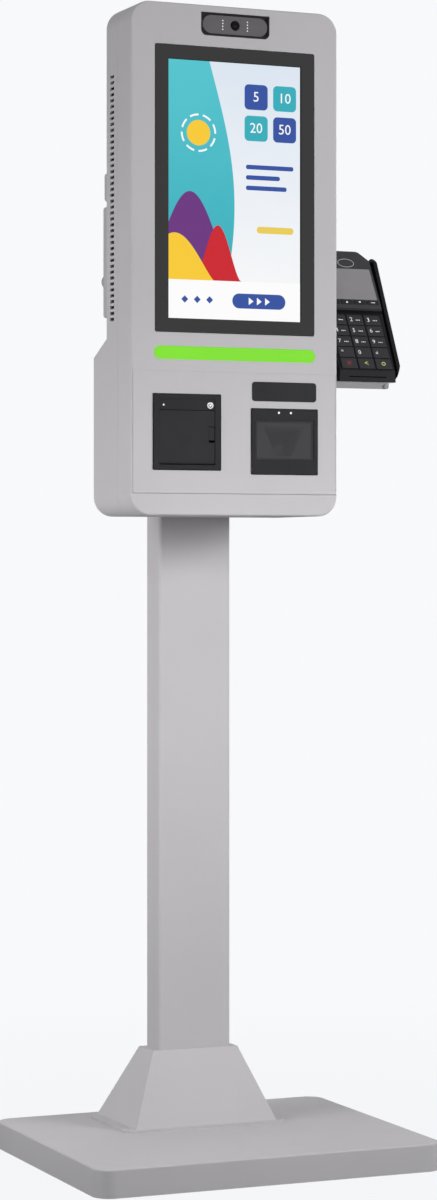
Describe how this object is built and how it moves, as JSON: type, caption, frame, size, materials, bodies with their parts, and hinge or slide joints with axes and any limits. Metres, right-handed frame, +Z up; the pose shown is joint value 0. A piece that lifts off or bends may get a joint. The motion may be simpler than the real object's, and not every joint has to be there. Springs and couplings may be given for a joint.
{
  "type": "donation kiosk",
  "caption": "Floor-standing donation kiosk: weighted base, post, slim housing with portrait touch screen, receipt printer, code scanner, and a payment terminal with keys at its side.",
  "frame": {"origin": "on the floor, under the centre of the base", "axes": "+Z up, -Y towards the person who uses the screen, +X to the right as seen from the front"},
  "size_m": [0.5235, 0.407, 1.5525],
  "materials": {
    "rubber_black": "matt rubber",
    "steel_plate": "bare steel plate",
    "body_paint": "fine satin powder coat, light warm grey",
    "zinc_bolt": "zinc-plated steel",
    "screen_glass": "black-bordered cover glass",
    "dark_panel": "dark display panel",
    "zinc_sheet": "zinc-plated sheet",
    "light_bar": "lit translucent green plastic",
    "board": "printed circuit board",
    "black_plastic": "textured black plastic",
    "lens_glass": "dark optical lens",
    "lamp": "small clear lamps",
    "roller_rubber": "platen rubber on a steel shaft",
    "paper": "thermal paper",
    "button_silver": "silver button cap",
    "smoke_window": "smoked window",
    "aluminium_fins": "anodised aluminium",
    "terminal_plastic": "textured near-black plastic",
    "terminal_display": "pale display",
    "key_plastic": "charcoal key cap",
    "knob_grey": "light grey moulded plastic",
    "bracket_paint": "satin paint, a darker grey than the housing"
  },
  "bodies": {
    "kiosk": {"floor_pad": "rubber_black", "ballast_plate": "steel_plate", "base_cover": "body_paint", "cable_grommet": "rubber_black", "foot_plate": "body_paint", "post_cone": "body_paint", "post": "body_paint", "mount_plate": "zinc_sheet", "stand_bolts": "zinc_bolt", "front_shell": "body_paint", "rear_shell": "body_paint", "case_screws": "zinc_bolt", "peripheral_panel": "body_paint", "screen_glass": "screen_glass", "lcd_panel": "dark_panel", "screen_frame": "zinc_sheet", "light_bar": "light_bar", "light_board": "board", "camera_housing": "black_plastic", "camera_lens": "lens_glass", "indicator_lights": "lamp", "printer_bezel": "black_plastic", "print_mechanism": "black_plastic", "scanner_bezel": "black_plastic", "scanner_window": "smoke_window", "scanner_module": "black_plastic", "rear_hinges": "zinc_bolt", "antenna_cover": "body_paint", "computer": "aluminium_fins", "power_supply": "zinc_sheet", "terminal_bracket": "bracket_paint", "terminal_base": "terminal_plastic", "terminal_cover": "terminal_plastic", "terminal_display": "terminal_display"},
    "rear_door": {"rear_door": "body_paint"},
    "rear_lock": {"rear_lock": "knob_grey"},
    "printer_door": {"printer_door": "black_plastic"},
    "door_latch": {"door_latch": "black_plastic"},
    "platen_roller": {"platen_roller": "roller_rubber"},
    "paper_roll": {"paper_roll": "paper"},
    "feed_button": {"feed_button": "button_silver"},
    "key_cancel": {"key_cancel": "key_plastic"},
    "key_clear": {"key_clear": "key_plastic"},
    "key_enter": {"key_enter": "key_plastic"},
    "key_star": {"key_star": "key_plastic"},
    "key_0": {"key_0": "key_plastic"},
    "key_hash": {"key_hash": "key_plastic"},
    "key_7": {"key_7": "key_plastic"},
    "key_8": {"key_8": "key_plastic"},
    "key_9": {"key_9": "key_plastic"},
    "key_4": {"key_4": "key_plastic"},
    "key_5": {"key_5": "key_plastic"},
    "key_6": {"key_6": "key_plastic"},
    "key_1": {"key_1": "key_plastic"},
    "key_2": {"key_2": "key_plastic"},
    "key_3": {"key_3": "key_plastic"},
    "key_menu": {"key_menu": "key_plastic"},
    "key_up": {"key_up": "key_plastic"},
    "key_down": {"key_down": "key_plastic"},
    "key_dash": {"key_dash": "key_plastic"}
  },
  "joints": [
    {"name": "rear_door_hinge", "type": "hinge", "parent": "kiosk", "child": "rear_door", "pos_m": [0.1436, 0.0247, 1.215], "axis": [0, 0, -1], "range_deg": [0, 85]},
    {"name": "rear_lock_turn", "type": "hinge", "parent": "rear_door", "child": "rear_lock", "pos_m": [-0.1335, 0.044, 1.1895], "axis": [0, 1, 0], "range_deg": [0, 90]},
    {"name": "printer_door_hinge", "type": "hinge", "parent": "kiosk", "child": "printer_door", "pos_m": [-0.0703, -0.0674, 0.9426], "axis": [1, 0, 0], "range_deg": [0, 90]},
    {"name": "door_latch_pull", "type": "hinge", "parent": "printer_door", "child": "door_latch", "pos_m": [-0.035, -0.0684, 0.9884], "axis": [-1, 0, 0], "range_deg": [0, 30], "stiffness_Nm_per_rad": 0.01},
    {"name": "platen_spin", "type": "hinge", "parent": "printer_door", "child": "platen_roller", "pos_m": [-0.0703, -0.0604, 1.0035], "axis": [1, 0, 0], "continuous": true},
    {"name": "paper_roll_spin", "type": "hinge", "parent": "kiosk", "child": "paper_roll", "pos_m": [-0.0703, -0.033, 0.9696], "axis": [1, 0, 0], "continuous": true},
    {"name": "feed_button_push", "type": "slide", "parent": "kiosk", "child": "feed_button", "axis": [0, 1, 0], "range_m": [0, 0.0008], "stiffness_N_per_m": 500, "springref_m": -0.0005},
    {"name": "key_cancel_push", "type": "slide", "parent": "kiosk", "child": "key_cancel", "axis": [0, 0.866, -0.5], "range_m": [0, 0.0012], "stiffness_N_per_m": 500, "springref_m": -0.0005},
    {"name": "key_clear_push", "type": "slide", "parent": "kiosk", "child": "key_clear", "axis": [0, 0.866, -0.5], "range_m": [0, 0.0012], "stiffness_N_per_m": 500, "springref_m": -0.0005},
    {"name": "key_enter_push", "type": "slide", "parent": "kiosk", "child": "key_enter", "axis": [0, 0.866, -0.5], "range_m": [0, 0.0012], "stiffness_N_per_m": 500, "springref_m": -0.0005},
    {"name": "key_star_push", "type": "slide", "parent": "kiosk", "child": "key_star", "axis": [0, 0.866, -0.5], "range_m": [0, 0.0012], "stiffness_N_per_m": 500, "springref_m": -0.0005},
    {"name": "key_0_push", "type": "slide", "parent": "kiosk", "child": "key_0", "axis": [0, 0.866, -0.5], "range_m": [0, 0.0012], "stiffness_N_per_m": 500, "springref_m": -0.0005},
    {"name": "key_hash_push", "type": "slide", "parent": "kiosk", "child": "key_hash", "axis": [0, 0.866, -0.5], "range_m": [0, 0.0012], "stiffness_N_per_m": 500, "springref_m": -0.0005},
    {"name": "key_7_push", "type": "slide", "parent": "kiosk", "child": "key_7", "axis": [0, 0.866, -0.5], "range_m": [0, 0.0012], "stiffness_N_per_m": 500, "springref_m": -0.0005},
    {"name": "key_8_push", "type": "slide", "parent": "kiosk", "child": "key_8", "axis": [0, 0.866, -0.5], "range_m": [0, 0.0012], "stiffness_N_per_m": 500, "springref_m": -0.0005},
    {"name": "key_9_push", "type": "slide", "parent": "kiosk", "child": "key_9", "axis": [0, 0.866, -0.5], "range_m": [0, 0.0012], "stiffness_N_per_m": 500, "springref_m": -0.0005},
    {"name": "key_4_push", "type": "slide", "parent": "kiosk", "child": "key_4", "axis": [0, 0.866, -0.5], "range_m": [0, 0.0012], "stiffness_N_per_m": 500, "springref_m": -0.0005},
    {"name": "key_5_push", "type": "slide", "parent": "kiosk", "child": "key_5", "axis": [0, 0.866, -0.5], "range_m": [0, 0.0012], "stiffness_N_per_m": 500, "springref_m": -0.0005},
    {"name": "key_6_push", "type": "slide", "parent": "kiosk", "child": "key_6", "axis": [0, 0.866, -0.5], "range_m": [0, 0.0012], "stiffness_N_per_m": 500, "springref_m": -0.0005},
    {"name": "key_1_push", "type": "slide", "parent": "kiosk", "child": "key_1", "axis": [0, 0.866, -0.5], "range_m": [0, 0.0012], "stiffness_N_per_m": 500, "springref_m": -0.0005},
    {"name": "key_2_push", "type": "slide", "parent": "kiosk", "child": "key_2", "axis": [0, 0.866, -0.5], "range_m": [0, 0.0012], "stiffness_N_per_m": 500, "springref_m": -0.0005},
    {"name": "key_3_push", "type": "slide", "parent": "kiosk", "child": "key_3", "axis": [0, 0.866, -0.5], "range_m": [0, 0.0012], "stiffness_N_per_m": 500, "springref_m": -0.0005},
    {"name": "key_menu_push", "type": "slide", "parent": "kiosk", "child": "key_menu", "axis": [0, 0.866, -0.5], "range_m": [0, 0.0008], "stiffness_N_per_m": 500, "springref_m": -0.0005},
    {"name": "key_up_push", "type": "slide", "parent": "kiosk", "child": "key_up", "axis": [0, 0.866, -0.5], "range_m": [0, 0.0008], "stiffness_N_per_m": 500, "springref_m": -0.0005},
    {"name": "key_down_push", "type": "slide", "parent": "kiosk", "child": "key_down", "axis": [0, 0.866, -0.5], "range_m": [0, 0.0008], "stiffness_N_per_m": 500, "springref_m": -0.0005},
    {"name": "key_dash_push", "type": "slide", "parent": "kiosk", "child": "key_dash", "axis": [0, 0.866, -0.5], "range_m": [0, 0.0008], "stiffness_N_per_m": 500, "springref_m": -0.0005}
  ]
}
